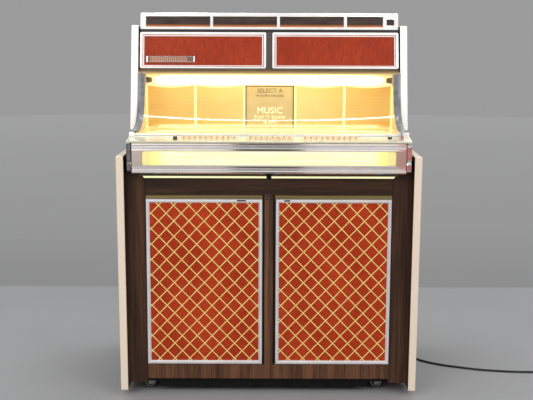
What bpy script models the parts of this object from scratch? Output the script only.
"""A console jukebox for 45 rpm records, 160 selections, as separate sub-parts.

Metres, +Z up. The origin is on the floor under the middle of the cabinet; -Y is the
front and +X is the right-hand side for someone who stands in front of it.
"""

from math import cos, pi, sin, tau

import bmesh
import bpy
from mathutils import Vector

# Cabinet -------------------------------------------------------------------
WIDTH, DEPTH, HEIGHT = 1.020, 0.660, 1.318
FRONT, REAR = -DEPTH / 2, DEPTH / 2
HALF = WIDTH / 2
SIDE_T = 0.025  # laminated side panels
SIDE_LOW, SIDE_TOP = 0.020, 0.838
FOOT_SETBACK = 0.030  # the panels' front edges lean back towards the floor
INNER = HALF - SIDE_T - 0.0005
GAP = 0.0003  # between pieces that touch
FLOOR_LOW, FLOOR_TOP = 0.058, 0.076  # cabinet floor board
KICK_HALF, KICK_LOW, KICK_T = 0.470, 0.039, 0.006
KICK_FRONT, KICK_REAR = -0.2555, 0.290
RAIL_HALF = 0.469  # the frame above the side panels
RAIL_TOP = 0.8835
PILASTER_IN, PILASTER_LOW, PILASTER_TOP = 0.4195, 0.041, 0.7795
BACK_Y, BACK_T = 0.3015, 0.009

# Front door ----------------------------------------------------------------
DOOR_Y, DOOR_T = -0.277, 0.019
DOOR_HALF, DOOR_LOW, DOOR_TOP = 0.418, 0.0555, 0.756
MULLION = 0.014  # half width of the upright between the grilles
GRILLE_IN, GRILLE_OUT = 0.021, 0.4185
GRILLE_LOW, GRILLE_TOP = 0.1077, 0.688
GRILLE_BAR, GRILLE_SINK = 0.0135, 0.0065
LEDGE_TOP = 0.7026
LOCK_R, LOCK_Z = 0.008, 0.697
DOOR_AXIS = Vector((0, -0.280, 0.0545))

# Light bar and selector deck -------------------------------------------------
BAR_HALF, BAR_CAP = 0.457, 0.475
BAR_FRONT, BAR_REAR = -0.326, -0.2905
BAR_LOW, BAR_TOP = 0.7805, 0.882
LENS_HALF, LENS_LOW, LENS_TOP = 0.424, 0.807, 0.856
DECK_FRONT_Z, DECK_REAR_Z, DECK_REAR_Y = 0.8875, 0.8995, -0.243
KEY_PITCH, KEY_W = 0.0188, 0.0150
KEY_FRONT, KEY_RIDGE, KEY_REAR = -0.287, -0.2815, -0.262
KEY_LOW, KEY_PROUD, SLOT_CLEAR = 0.8775, 0.0080, 0.0008
KEY_BANKS = ((-0.2020, 10), (0.0025, 8), (0.2060, 10))  # (middle, keys)

# Lid: everything above the deck ----------------------------------------------
LID_AXIS = Vector((0, 0.322, 0.890))
LID_SIDE_IN, LID_SIDE_OUT = 0.4692, 0.494
LID_FLOOR_LOW, LID_FLOOR_TOP = 0.8935, 0.8995
LID_REAR, LID_WALL = 0.312, 0.009
CHEEK_IN, CHEEK_OUT = 0.456, 0.4685
SHELL_TOP = 1.258
SIDE_EDGE = ((-0.066, 0.905), (0.013, 1.273))  # the side panels' front edges, (y, z)
WINDOW_CURVE = ((-0.030, 1.105), (-0.046, 0.957), (-0.107, 0.917), (-0.238, 0.911))
WINDOW_T, WINDOW_STEPS = 0.003, 20
HEADER = ((-0.005, 1.120), (0.024, 1.252))  # the header's front face, (y, z)
CAP_HALF, CAP_LOW = 0.465, 1.259
CAP_FRONT, CAP_LEAN = 0.030, 0.010
CAP_WINDOWS = ((-0.445, -0.213), (-0.203, 0.028), (0.038, 0.269), (0.280, 0.410))
CAP_SMALL_WINDOW = (0.423, 0.450)
BOARD_Y, BOARD_T, BOARD_TOP = 0.082, 0.012, 1.100
LAMP_Y, LAMP_Z, LAMP_R = 0.023, 1.080, 0.019

# Mechanism and casters --------------------------------------------------------
BED_LOW, BED_T = 0.5985, 0.010
MAGAZINE = Vector((-0.120, 0.030, 0.625))
RECORD_IN, RECORD_OUT, RECORDS = 0.060, 0.235, 40
TURNTABLE = Vector((0.235, 0.030, 0.740))
TURNTABLE_R, SHAFT_R = 0.090, 0.006
CASTER_X, CASTER_FRONT_Y, CASTER_REAR_Y = 0.400, -0.205, 0.235
WHEEL_R, WHEEL_HALF, WHEEL_BORE, TRAIL = 0.0225, 0.010, 0.0043, 0.018
AXLE_R = 0.004
FORK_LOW, FORK_TOP, PLATE_HALF = 0.0478, 0.0534, 0.025

# Mains lead --------------------------------------------------------------------
CORD_R = 0.00375
CORD_REST = CORD_R + 0.0003  # height of its middle where it lies on the floor
BUSH = Vector((0.330, BACK_Y + BACK_T, 0.115))
BUSH_LENGTH = 0.008
CORD_ROUTE = (
    (0.330, 0.3188, 0.1150), (0.330, 0.345, 0.1140), (0.331, 0.370, 0.1060),
    (0.332, 0.389, 0.0850), (0.335, 0.401, 0.0560), (0.342, 0.411, 0.0290),
    (0.357, 0.422, 0.0100), (0.382, 0.433, CORD_REST), (0.416, 0.439, CORD_REST),
    (0.456, 0.435, CORD_REST), (0.495, 0.416, CORD_REST), (0.524, 0.382, CORD_REST),
    (0.540, 0.335, CORD_REST), (0.547, 0.280, CORD_REST), (0.550, 0.220, CORD_REST),
    (0.557, 0.160, CORD_REST), (0.579, 0.110, CORD_REST), (0.619, 0.069, CORD_REST),
    (0.671, 0.036, CORD_REST), (0.730, 0.010, CORD_REST), (0.796, -0.015, CORD_REST),
    (0.884, -0.033, CORD_REST), (0.960, -0.0395, CORD_REST), (1.0395, -0.040, CORD_REST),
)
COIL = Vector((1.068, 0.009, 0.0))
COIL_COLUMNS, COIL_LAYERS, COIL_MID_R = 3, 2, 0.0415

COLOURS = {  # (red, green, blue, alpha), roughness, metallic
    "walnut": ((0.085, 0.040, 0.021, 1), 0.45, 0.0),
    "dark_frame": ((0.020, 0.018, 0.017, 1), 0.55, 0.0),
    "aluminium": ((0.72, 0.72, 0.73, 1), 0.35, 1.0),
    "chrome": ((0.80, 0.80, 0.80, 1), 0.10, 1.0),
    "steel": ((0.45, 0.45, 0.46, 1), 0.40, 1.0),
    "speaker_cloth": ((0.39, 0.045, 0.018, 1), 0.90, 0.0),
    "lit_lens": ((1.0, 0.96, 0.62, 1), 0.40, 0.0),
    "acrylic": ((0.95, 0.95, 0.93, 0.15), 0.05, 0.0),
    "lamp_glass": ((1.0, 0.97, 0.85, 1), 0.30, 0.0),
    "title_card": ((0.95, 0.62, 0.14, 1), 0.50, 0.0),
    "key_plastic": ((0.85, 0.82, 0.72, 1), 0.30, 0.0),
    "vinyl": ((0.012, 0.012, 0.013, 1), 0.30, 0.0),
    "black_rubber": ((0.010, 0.010, 0.010, 1), 0.60, 0.0),
}


def material(slot):
    """The Principled material of a slot, made once."""
    found = bpy.data.materials.get(slot)
    if found:
        return found
    colour, roughness, metallic = COLOURS[slot]
    made = bpy.data.materials.new(slot)
    made.use_nodes = True
    shader = made.node_tree.nodes["Principled BSDF"]
    shader.inputs["Base Color"].default_value = colour
    shader.inputs["Alpha"].default_value = colour[3]
    shader.inputs["Roughness"].default_value = roughness
    shader.inputs["Metallic"].default_value = metallic
    return made


def place(name, bm, slot, origin=(0, 0, 0)):
    """An object from a bmesh in world coordinates, with its own origin."""
    bmesh.ops.recalc_face_normals(bm, faces=bm.faces)
    bmesh.ops.translate(bm, verts=bm.verts, vec=-Vector(origin))
    mesh = bpy.data.meshes.new(name)
    bm.to_mesh(mesh)
    bm.free()
    mesh.materials.append(material(slot))
    made = bpy.data.objects.new(name, mesh)
    made.location = origin
    bpy.context.scene.collection.objects.link(made)
    return made


def add_box(bm, x, y, z):
    """Adds a box between two values along each axis."""
    corners = [bm.verts.new((a, b, c)) for a in x for b in y for c in z]
    for face in ((0, 1, 3, 2), (4, 6, 7, 5), (0, 4, 5, 1), (2, 3, 7, 6), (0, 2, 6, 4), (1, 5, 7, 3)):
        bm.faces.new([corners[i] for i in face])


def box(name, x, y, z, slot="dark_frame", origin=(0, 0, 0)):
    bm = bmesh.new()
    add_box(bm, x, y, z)
    return place(name, bm, slot, origin)


def prism(name, outline, x, slot, origin=(0, 0, 0)):
    """A (y, z) outline extruded from x[0] to x[1]."""
    bm = bmesh.new()
    face = bm.faces.new([bm.verts.new((x[0], y, z)) for y, z in outline])
    out = bmesh.ops.extrude_face_region(bm, geom=[face])
    moved = [v for v in out["geom"] if isinstance(v, bmesh.types.BMVert)]
    bmesh.ops.translate(bm, verts=moved, vec=(x[1] - x[0], 0, 0))
    return place(name, bm, slot, origin)


def turned(name, profile, centre, along, slot, sides=32, origin=None):
    """A closed (radius, height) profile turned about the axis through centre."""
    bm = bmesh.new()
    axis = Vector(along).normalized()
    across = axis.orthogonal().normalized()
    other = axis.cross(across)
    rings = []
    for radius, height in profile:
        middle = Vector(centre) + axis * height
        if radius == 0:
            rings.append([bm.verts.new(middle)] * sides)
            continue
        turn = [tau * i / sides for i in range(sides)]
        rings.append([bm.verts.new(middle + radius * (cos(a) * across + sin(a) * other)) for a in turn])
    closed = profile[0][0] > 0
    for k in range(len(rings) if closed else len(rings) - 1):
        low, high = rings[k], rings[(k + 1) % len(rings)]
        for i in range(sides):
            j = (i + 1) % sides
            corners = list(dict.fromkeys((low[i], low[j], high[j], high[i])))
            bm.faces.new(corners)
    made = place(name, bm, slot, centre if origin is None else origin)
    made.data.shade_smooth()
    made.data.set_sharp_from_angle(angle=pi / 6)
    return made


def boolean(target, operation, *tools):
    """Adds to or cuts from the target with other objects, which stay as guides."""
    for tool in tools:
        step = target.modifiers.new(operation.lower(), "BOOLEAN")
        step.operation, step.object, step.solver = operation, tool, "EXACT"
        tool.hide_render, tool.display_type = True, "WIRE"
    return target


def bevel(target, width, segments=1):
    step = target.modifiers.new("bevel", "BEVEL")
    step.width, step.segments, step.limit_method = width, segments, "ANGLE"
    return target


def mirrored(x):
    return -x[1], -x[0]


def sided(side, x):
    """A range of x on the right (+1) or left (-1) side."""
    return tuple(x) if side > 0 else mirrored(x)


def pivot(name, where, *pieces):
    """An empty on a joint's axis that carries pieces, which keep their places."""
    empty = bpy.data.objects.new(name, None)
    empty.location = where
    bpy.context.scene.collection.objects.link(empty)
    for piece in pieces:
        piece.parent = empty
        piece.location = piece.location - Vector(where)


def bezier(curve, steps):
    """Points along one cubic curve of four (y, z) points."""
    a, b, c, d = (Vector(p) for p in curve)
    for k in range(steps + 1):
        t = k / steps
        yield a * (1 - t) ** 3 + 3 * b * t * (1 - t) ** 2 + 3 * c * t * t * (1 - t) + d * t**3


def offset(points, distance):
    """A (y, z) line moved sideways; positive moves it towards the inside of the lid."""
    points = list(points)
    moved = []
    for k, p in enumerate(points):
        run = points[min(k + 1, len(points) - 1)] - points[max(k - 1, 0)]
        moved.append(p + Vector((-run.y, run.x)).normalized() * distance)
    return moved


def smooth(points, per_span):
    """A Catmull-Rom line through the points, with per_span steps between two of them."""
    p = [Vector(q) for q in points]
    p = [2 * p[0] - p[1], *p, 2 * p[-1] - p[-2]]
    line = []
    for a, b, c, d in zip(p, p[1:], p[2:], p[3:]):
        for k in range(per_span):
            t = k / per_span
            here = b + 0.5 * t * (c - a + t * (2 * a - 5 * b + 4 * c - d + t * (3 * (b - c) + d - a)))
            here.z = max(here.z, CORD_REST)
            line.append(here)
    return [*line, p[-2]]


def deck_z(y):
    """Height of the selector deck's sloping top."""
    return DECK_FRONT_Z + (y - FRONT) / (DECK_REAR_Y - FRONT) * (DECK_REAR_Z - DECK_FRONT_Z)


# Cabinet ---------------------------------------------------------------------
def cabinet_sides():
    outline = (
        (FRONT + FOOT_SETBACK, SIDE_LOW), (REAR, SIDE_LOW), (REAR, SIDE_TOP), (FRONT, SIDE_TOP),
    )
    for side, name in ((-1, "left"), (1, "right")):
        panel = prism(f"cabinet_{name}_side", outline, sided(side, (HALF - SIDE_T, HALF)), "walnut")
        bevel(panel, 0.0015)


def fixed_caster(side):
    """Arms and axle of a rear caster, which doesn't swivel."""
    x, low, high = side * CASTER_X, WHEEL_R - 0.008, FLOOR_LOW + 0.002
    y = (CASTER_REAR_Y - 0.010, CASTER_REAR_Y + 0.010)
    arms = [
        box("guide_arm", (x + s * 0.0130 - 0.0017, x + s * 0.0130 + 0.0017), y, (low, high))
        for s in (-1, 1)
    ]
    pin = turned(
        "guide_axle", ((0, -0.0135), (AXLE_R, -0.0135), (AXLE_R, 0.0135), (0, 0.0135)),
        (x, CASTER_REAR_Y, WHEEL_R), (1, 0, 0), "steel", 20,
    )
    return [*arms, pin]


def cabinet_carcass():
    """Floor board, kick frame, pilasters, rails, posts and cleats, glued into one frame."""
    carcass = box("cabinet_carcass", (-INNER, INNER), (KICK_FRONT, 0.300), (FLOOR_LOW, FLOOR_TOP))
    kick_z = (KICK_LOW, FLOOR_LOW + 0.001)
    pieces = [
        box("guide", (-KICK_HALF, KICK_HALF), (KICK_FRONT, KICK_FRONT + KICK_T), kick_z),
        box("guide", (-KICK_HALF, KICK_HALF), (KICK_REAR - KICK_T, KICK_REAR), kick_z),
        box("guide", (-RAIL_HALF, RAIL_HALF), (-0.2895, -0.248), (PILASTER_TOP - 0.001, 0.868)),
        box("guide", (-RAIL_HALF, RAIL_HALF), (0.281, 0.2995), (0.800, RAIL_TOP)),
        box("guide", (-PILASTER_IN - 0.001, PILASTER_IN + 0.001),
            (KICK_FRONT - 0.0065, KICK_FRONT), (0.7585, PILASTER_TOP)),
    ]
    for side in (-1, 1):
        pieces += [
            box("guide", sided(side, (KICK_HALF - KICK_T, KICK_HALF)),
                (KICK_FRONT + 0.001, KICK_REAR - 0.001), kick_z),
            box("guide", sided(side, (PILASTER_IN, INNER)), (DOOR_Y, -0.255), (PILASTER_LOW, PILASTER_TOP)),
            box("guide", sided(side, (0.449, RAIL_HALF)), (-0.270, 0.290), (0.812, RAIL_TOP)),
            box("guide", sided(side, (0.448, INNER)), (-0.2885, 0.2992), (0.810, SIDE_TOP - 0.004)),
            box("guide", sided(side, (0.4495, INNER)), (0.2805, 0.2998), (FLOOR_LOW + 0.002, 0.815)),
            box("guide", sided(side, (0.4595, INNER)), (-0.256, 0.285), (0.575, BED_LOW - GAP)),
            box("guide", (side * CASTER_X - PLATE_HALF, side * CASTER_X + PLATE_HALF),
                (CASTER_FRONT_Y - PLATE_HALF, CASTER_FRONT_Y + PLATE_HALF),
                (FORK_TOP + GAP, FLOOR_LOW + 0.001)),
            *fixed_caster(side),
        ]
    return boolean(carcass, "UNION", *pieces)


def back_panel():
    """Rear board with the bush that the mains lead comes out of."""
    board = box("back_panel", (-0.4835, 0.4835), (BACK_Y, BACK_Y + BACK_T), (0.060, 0.885), "walnut")
    bush = turned(
        "guide_bush",
        ((0, -0.004), (0.010, -0.004), (0.010, 0.003), (0.007, BUSH_LENGTH), (0, BUSH_LENGTH)),
        BUSH, (0, 1, 0), "black_rubber", 20,
    )
    return boolean(board, "UNION", bush)


# Front door --------------------------------------------------------------------
def door_frame():
    door = box(
        "door_frame", (-DOOR_HALF, DOOR_HALF), (DOOR_Y, DOOR_Y + DOOR_T), (DOOR_LOW, DOOR_TOP),
        "walnut", DOOR_AXIS,
    )
    recess_z, through_z = (GRILLE_LOW - 0.0008, LEDGE_TOP), (0.150, 0.650)
    for side in (-1, 1):
        recess = box("cut_recess", sided(side, (MULLION, 0.430)), (-0.290, -0.2685), recess_z)
        opening = box("cut_opening", sided(side, (0.055, 0.385)), (-0.290, -0.250), through_z)
        boolean(door, "DIFFERENCE", recess, opening)
    hole = turned(
        "cut_lock", ((0, -0.03), (LOCK_R + GAP, -0.03), (LOCK_R + GAP, 0.03), (0, 0.03)),
        (0, DOOR_Y, LOCK_Z), (0, 1, 0), "steel", 24,
    )
    return boolean(door, "DIFFERENCE", hole)


def grille(side, name):
    """A speaker grille: an aluminium border around a sunk, cloth-covered board."""
    bm = bmesh.new()
    add_box(bm, sided(side, (GRILLE_IN, GRILLE_OUT)), (-0.2815, -0.2690), (GRILLE_LOW, GRILLE_TOP))
    bmesh.ops.recalc_face_normals(bm, faces=bm.faces)
    front = [f for f in bm.faces if f.normal.y < -0.9]
    bmesh.ops.inset_region(bm, faces=front, thickness=GRILLE_BAR, depth=-GRILLE_SINK)
    return place(name, bm, "speaker_cloth", DOOR_AXIS)


def door_lock():
    barrel = turned(
        "door_lock",
        ((0, -0.004), (0.0095, -0.004), (0.0095, -GAP), (LOCK_R, -GAP), (LOCK_R, 0.026), (0, 0.026)),
        (0, DOOR_Y, LOCK_Z), (0, 1, 0), "chrome", 24,
    )
    cam = box(
        "guide_cam", (-0.006, 0.006), (DOOR_Y + 0.021, DOOR_Y + 0.024), (LOCK_Z - 0.007, LOCK_Z + 0.030),
    )
    return boolean(barrel, "UNION", cam)


# Light bar and selector deck -----------------------------------------------------
def light_bar():
    housing = box(
        "light_bar_housing", (-BAR_HALF, BAR_HALF), (BAR_FRONT, BAR_REAR), (BAR_LOW, BAR_TOP), "aluminium",
    )
    ends = box("guide_ends", (-BAR_CAP, BAR_CAP), (BAR_FRONT + 0.006, BAR_REAR - 0.001),
               (BAR_LOW + 0.004, BAR_TOP - 0.002))
    pocket = box(
        "cut_pocket", (-LENS_HALF, LENS_HALF), (BAR_FRONT - 0.01, BAR_REAR - 0.003), (LENS_LOW, LENS_TOP),
    )
    boolean(housing, "UNION", ends)
    boolean(housing, "DIFFERENCE", pocket)
    box(
        "light_bar_lens", (-LENS_HALF + GAP, LENS_HALF - GAP), (BAR_FRONT + 0.003, BAR_FRONT + 0.008),
        (LENS_LOW + GAP, LENS_TOP - GAP), "lit_lens",
    )


def key_places():
    """The middle of each key along X, from left to right."""
    for middle, count in KEY_BANKS:
        for k in range(count):
            yield middle + (k - (count - 1) / 2) * KEY_PITCH


def selector_panel():
    low = BAR_TOP + 0.0022
    outline = (
        (FRONT, low), (FRONT, DECK_FRONT_Z), (DECK_REAR_Y, DECK_REAR_Z), (DECK_REAR_Y, 0.889),
        (-0.170, 0.889), (-0.170, low),
    )
    panel = prism("selector_panel", outline, (-BAR_CAP, BAR_CAP), "aluminium")
    bm = bmesh.new()
    reach = KEY_W / 2 + SLOT_CLEAR
    for x in key_places():
        add_box(bm, (x - reach, x + reach), (KEY_FRONT - SLOT_CLEAR, KEY_REAR + SLOT_CLEAR), (0.87, 0.92))
    return boolean(panel, "DIFFERENCE", place("cut_slots", bm, "aluminium"))


def selector_keys():
    """Sprung selector keys, whose steep front faces carry the labels."""
    outline = (
        (KEY_FRONT, KEY_LOW), (KEY_FRONT, deck_z(KEY_FRONT) + 0.0020),
        (KEY_RIDGE, deck_z(KEY_FRONT) + KEY_PROUD), (KEY_REAR, deck_z(KEY_REAR) + 0.0035),
        (KEY_REAR, KEY_LOW),
    )
    for number, x in enumerate(key_places(), 1):
        key = prism(
            f"selector_key_{number:02d}", outline, (x - KEY_W / 2, x + KEY_W / 2), "key_plastic",
            (x, (KEY_FRONT + KEY_REAR) / 2, KEY_LOW),
        )
        bevel(key, 0.0008)


def coin_entry():
    """Chrome block with the coin slot, on the right of the deck."""
    y0, y1, lift = -0.300, -0.256, 0.0005
    outline = (
        (y0, deck_z(y0) + lift), (y0, 0.906), (y0 + 0.010, 0.918), (y1 - 0.006, 0.918),
        (y1, 0.912), (y1, deck_z(y1) + lift),
    )
    block = prism("coin_entry", outline, (0.4345, 0.4495), "chrome")
    slot = box("cut_slot", (0.4405, 0.4435), (y0 - 0.001, y1 - 0.008), (0.902, 0.930))
    return boolean(block, "DIFFERENCE", slot)


# Lid -------------------------------------------------------------------------------
def lid_shell():
    """Floor, rear wall, top, cheeks and header of the lid, in one piece."""
    rear = (LID_REAR - LID_WALL, LID_REAR)
    shell = box(
        "lid_shell", (-CHEEK_OUT, CHEEK_OUT), (-0.241, LID_REAR), (LID_FLOOR_LOW, LID_FLOOR_TOP),
        "dark_frame", LID_AXIS,
    )
    cheek = [tuple(p) for p in offset(bezier(WINDOW_CURVE, WINDOW_STEPS), WINDOW_T + GAP)]
    cheek[-1] = (-0.2345, cheek[-1][1])
    cheek += [(-0.2345, LID_FLOOR_LOW + 0.001), (LID_REAR - 0.001, LID_FLOOR_LOW + 0.001)]
    cheek_top = SHELL_TOP - 0.001
    cheek += [(LID_REAR - 0.001, cheek_top), (HEADER[1][0] + 0.003, cheek_top), (0.001, 1.112)]
    header = (
        (HEADER[0][0], 1.110), HEADER[0], HEADER[1], (HEADER[1][0] + 0.001, SHELL_TOP - 0.002),
        (0.062, SHELL_TOP - 0.002), (0.048, 1.110),
    )
    pieces = [
        box("guide", (-CHEEK_OUT + 0.0005, CHEEK_OUT - 0.0005), (-0.2405, -0.2345), (0.895, 0.9072)),
        box("guide", (-CHEEK_OUT + 0.0005, CHEEK_OUT - 0.0005), rear, (0.895, SHELL_TOP)),
        box("guide", (-CHEEK_OUT + 0.0005, CHEEK_OUT - 0.0005), (0.045, LID_REAR - 0.0005),
            (SHELL_TOP - 0.006, SHELL_TOP)),
        prism("guide", header, (-0.4645, 0.4645), "dark_frame"),
        *(
            prism("guide", cheek, sided(side, (CHEEK_IN, CHEEK_OUT - 0.001)), "dark_frame")
            for side in (-1, 1)
        ),
    ]
    return boolean(shell, "UNION", *pieces)


def lid_sides():
    rear = 0.314
    (y0, z0), (y1, z1) = SIDE_EDGE
    outline = ((y0, z0), (rear, z0), (rear, z1), (y1, z1))
    made = []
    for side, name in ((-1, "left"), (1, "right")):
        x = sided(side, (LID_SIDE_IN, LID_SIDE_OUT))
        panel = prism(f"lid_{name}_side", outline, x, "walnut", LID_AXIS)
        made.append(bevel(panel, 0.0015))
    return made


def lid_window():
    """Clear acrylic sheet in one concave sweep from the header down to the deck."""
    outer = list(bezier(WINDOW_CURVE, WINDOW_STEPS))
    outline = [tuple(p) for p in outer] + [tuple(p) for p in reversed(offset(outer, WINDOW_T))]
    return prism("lid_window", outline, (-0.468, 0.468), "acrylic", LID_AXIS)


def top_cap():
    """Bezel across the top, with five sunk windows in its leaning face."""
    outline = (
        (CAP_FRONT, CAP_LOW), (LID_REAR, CAP_LOW), (LID_REAR, HEIGHT), (CAP_FRONT + CAP_LEAN, HEIGHT),
    )
    cap = bevel(prism("top_cap", outline, (-CAP_HALF, CAP_HALF), "chrome", LID_AXIS), 0.0015)
    wall = 0.006
    hollow = box(
        "cut_hollow", (-CAP_HALF + wall, CAP_HALF - wall), (0.058, LID_REAR - wall),
        (CAP_LOW - 0.01, HEIGHT - wall),
    )
    boolean(cap, "DIFFERENCE", hollow)
    y = (CAP_FRONT - 0.01, CAP_FRONT + CAP_LEAN + 0.003)
    for x in CAP_WINDOWS:
        boolean(cap, "DIFFERENCE", box("cut_window", x, y, (1.268, 1.306)))
    return boolean(cap, "DIFFERENCE", box("cut_window", CAP_SMALL_WINDOW, y, (1.275, 1.297)))


def title_board():
    return box(
        "title_board", (-0.4555, 0.4555), (BOARD_Y, BOARD_Y + BOARD_T), (LID_FLOOR_TOP + GAP, BOARD_TOP),
        "title_card", LID_AXIS,
    )


def display_lamp():
    """Fluorescent tube with its end caps and lamp holders."""
    profile = (
        (0, -0.4555), (0.013, -0.4555), (0.013, -0.444), (LAMP_R - 0.001, -0.444),
        (LAMP_R - 0.001, -0.437), (LAMP_R, -0.434), (LAMP_R, 0.434),
        (LAMP_R - 0.001, 0.437), (LAMP_R - 0.001, 0.444), (0.013, 0.444), (0.013, 0.4555), (0, 0.4555),
    )
    return turned("display_lamp", profile, (0, LAMP_Y, LAMP_Z), (1, 0, 0), "lamp_glass", 24, LID_AXIS)


# Mechanism -----------------------------------------------------------------------
def mechanism_bed():
    """Chassis plate with the magazine's post and the turntable's bearing block."""
    bed = box("mechanism_bed", (-0.480, 0.480), (-0.225, 0.275), (BED_LOW, BED_LOW + BED_T), "steel")
    x, y, _ = MAGAZINE
    post = turned(
        "guide_post", ((0, 0.0), (0.018, 0.0), (0.018, 0.046), (0, 0.046)),
        (x, y, BED_LOW + 0.005), (0, 0, 1), "steel", 24,
    )
    block = box("guide_block", (0.262, 0.290), (-0.010, 0.070), (BED_LOW + 0.005, 0.775))
    bore = turned(
        "cut_bore", ((0, -0.05), (SHAFT_R + GAP, -0.05), (SHAFT_R + GAP, 0.05), (0, 0.05)),
        (0.276, TURNTABLE.y, TURNTABLE.z), (1, 0, 0), "steel", 24,
    )
    boolean(bed, "UNION", post, block)
    return boolean(bed, "DIFFERENCE", bore)


def record_magazine():
    """Turning ring that holds the records upright, like spokes."""
    base = turned(
        "record_magazine",
        (
            (0.0195, 0), (0.045, 0), (0.045, 0.015),
            (RECORD_OUT, 0.015), (RECORD_OUT, 0.028), (0.0195, 0.028),
        ),
        MAGAZINE, (0, 0, 1), "vinyl", 48,
    )
    bm = bmesh.new()
    points = []
    half, outer = 0.0016, RECORD_OUT - 0.002
    for k in range(RECORDS):
        turn = tau * k / RECORDS
        for radius, edge in ((RECORD_IN, -half), (outer, -half), (outer, half), (RECORD_IN, half)):
            angle = turn + edge / radius
            points.append(bm.verts.new(MAGAZINE + Vector((radius * cos(angle), radius * sin(angle), 0.027))))
    out = bmesh.ops.extrude_face_region(bm, geom=[bm.faces.new(points)])
    moved = [v for v in out["geom"] if isinstance(v, bmesh.types.BMVert)]
    bmesh.ops.translate(bm, verts=moved, vec=(0, 0, 0.176))
    return boolean(base, "UNION", place("guide_records", bm, "vinyl"))


def turntable():
    profile = (
        (0, -0.012), (0.0035, -0.012), (0.0035, 0), (0.040, 0), (0.040, -0.002), (TURNTABLE_R, -0.002),
        (TURNTABLE_R, 0.012), (SHAFT_R, 0.012), (SHAFT_R, 0.060), (0, 0.060),
    )
    return turned("turntable", profile, TURNTABLE, (1, 0, 0), "steel", 40)


def amplifier():
    low = FLOOR_TOP + GAP
    chassis = box("amplifier", (-0.170, 0.170), (0.000, 0.190), (low, low + 0.070), "steel")
    cans = [
        box("guide", (x - 0.032, x + 0.032), (0.095, 0.165), (low + 0.060, low + 0.130)) for x in (-0.115, 0.115)
    ]
    tube_profile = ((0, 0), (0.018, 0), (0.018, 0.055), (0.010, 0.066), (0, 0.066))
    cans += [
        turned("guide", tube_profile, (x, 0.045, low + 0.065), (0, 0, 1), "steel", 16) for x in (-0.045, 0.0, 0.045)
    ]
    return boolean(chassis, "UNION", *cans)


# Casters -------------------------------------------------------------------------
def caster_wheel(name, centre, along):
    profile = (
        (WHEEL_BORE, -WHEEL_HALF), (WHEEL_R - 0.002, -WHEEL_HALF), (WHEEL_R, -WHEEL_HALF + 0.003),
        (WHEEL_R, WHEEL_HALF - 0.003), (WHEEL_R - 0.002, WHEEL_HALF), (WHEEL_BORE, WHEEL_HALF),
    )
    turned(name, profile, centre, along, "black_rubber", 32)


def swivel_caster(side, name):
    """Front caster, which trails to the left of its swivel axis at rest."""
    x, y = side * CASTER_X, CASTER_FRONT_Y
    fork = turned(
        f"{name}_caster_fork", ((0, FORK_LOW), (0.019, FORK_LOW), (0.019, FORK_TOP), (0, FORK_TOP)),
        (x, y, 0), (0, 0, 1), "steel", 28,
    )
    wheel_x = x - TRAIL
    arm_low, arm_top = WHEEL_R - 0.008, FORK_LOW + 0.0005
    arm = (
        (wheel_x - 0.008, arm_low), (wheel_x + 0.008, arm_low),
        (x + 0.013, arm_top), (wheel_x + 0.003, arm_top),
    )
    for s in (-1, 1):
        near, far = y + s * 0.0112, y + s * 0.0142
        bm = bmesh.new()
        low = [bm.verts.new((a, near, b)) for a, b in arm]
        high = [bm.verts.new((a, far, b)) for a, b in arm]
        bm.faces.new(low)
        bm.faces.new(reversed(high))
        for i in range(4):
            bm.faces.new((low[i], high[i], high[(i + 1) % 4], low[(i + 1) % 4]))
        boolean(fork, "UNION", place("guide_arm", bm, "steel"))
    pin = turned(
        "guide_axle", ((0, -0.0130), (AXLE_R, -0.0130), (AXLE_R, 0.0130), (0, 0.0130)),
        (wheel_x, y, WHEEL_R), (0, 1, 0), "steel", 20,
    )
    boolean(fork, "UNION", pin)
    caster_wheel(f"{name}_caster_wheel", (wheel_x, y, WHEEL_R), (0, 1, 0))


def casters():
    for side, name in ((-1, "left"), (1, "right")):
        swivel_caster(side, f"front_{name}")
        caster_wheel(f"rear_{name}_caster_wheel", (side * CASTER_X, CASTER_REAR_Y, WHEEL_R), (1, 0, 0))


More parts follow.
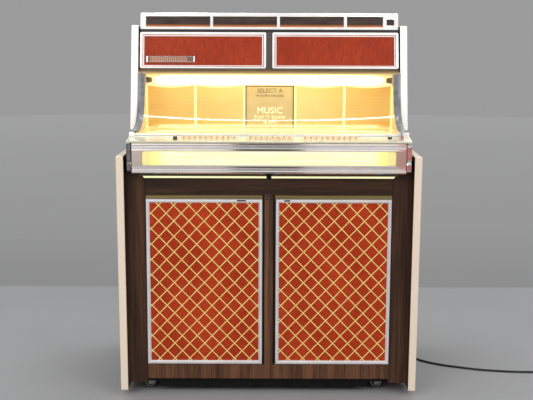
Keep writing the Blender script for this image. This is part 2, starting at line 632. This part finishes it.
# Mains lead ------------------------------------------------------------------------
def cord_tube():
    curve = bpy.data.curves.new("cord_tube", "CURVE")
    curve.dimensions = "3D"
    line = smooth(CORD_ROUTE, 3)
    spline = curve.splines.new("POLY")
    spline.points.add(len(line) - 1)
    for point, place_at in zip(spline.points, line):
        point.co = (*place_at, 1)
    curve.bevel_depth, curve.bevel_resolution, curve.use_fill_caps = CORD_R, 2, True
    curve.materials.append(material("black_rubber"))
    bpy.context.scene.collection.objects.link(bpy.data.objects.new("cord_tube", curve))


def cord_coil():
    reach = COIL_COLUMNS * CORD_R + 0.0003
    low, high = GAP, GAP + COIL_LAYERS * 2 * CORD_R
    inner, outer = COIL_MID_R - reach, COIL_MID_R + reach
    profile = ((inner, low), (outer, low), (outer, high), (inner, high))
    turned("cord_coil", profile, COIL, (0, 0, 1), "black_rubber", 36)


def plug():
    """Two-blade plug that lies beside the coil."""
    start = COIL + Vector((COIL_MID_R + 2 * CORD_R, 0.030, 3 * CORD_R + GAP))
    body = turned(
        "plug",
        (
            (0, 0), (0.0050, 0), (0.0068, 0.020), (0.0095, 0.024),
            (0.0108, 0.036), (0.0105, 0.050), (0, 0.050),
        ),
        start, (0, 1, 0), "black_rubber", 20,
    )
    for s in (-1, 1):
        x = start.x + s * 0.00635
        y = (start.y + 0.045, start.y + 0.067)
        blade = box("guide_blade", (x - 0.0008, x + 0.0008), y, (start.z - 0.0032, start.z + 0.0032))
        boolean(body, "UNION", blade)


def build():
    for old in list(bpy.data.objects):
        bpy.data.objects.remove(old)
    cabinet_sides()
    cabinet_carcass()
    back_panel()
    grilles = [grille(-1, "grille_left"), grille(1, "grille_right")]
    pivot("door_pivot", DOOR_AXIS, door_frame(), *grilles, door_lock())
    light_bar()
    selector_panel()
    coin_entry()
    selector_keys()
    pivot(
        "lid_pivot", LID_AXIS,
        lid_shell(), *lid_sides(), lid_window(), top_cap(), title_board(), display_lamp(),
    )
    mechanism_bed()
    record_magazine()
    turntable()
    amplifier()
    casters()
    cord_tube()
    cord_coil()
    plug()


build()
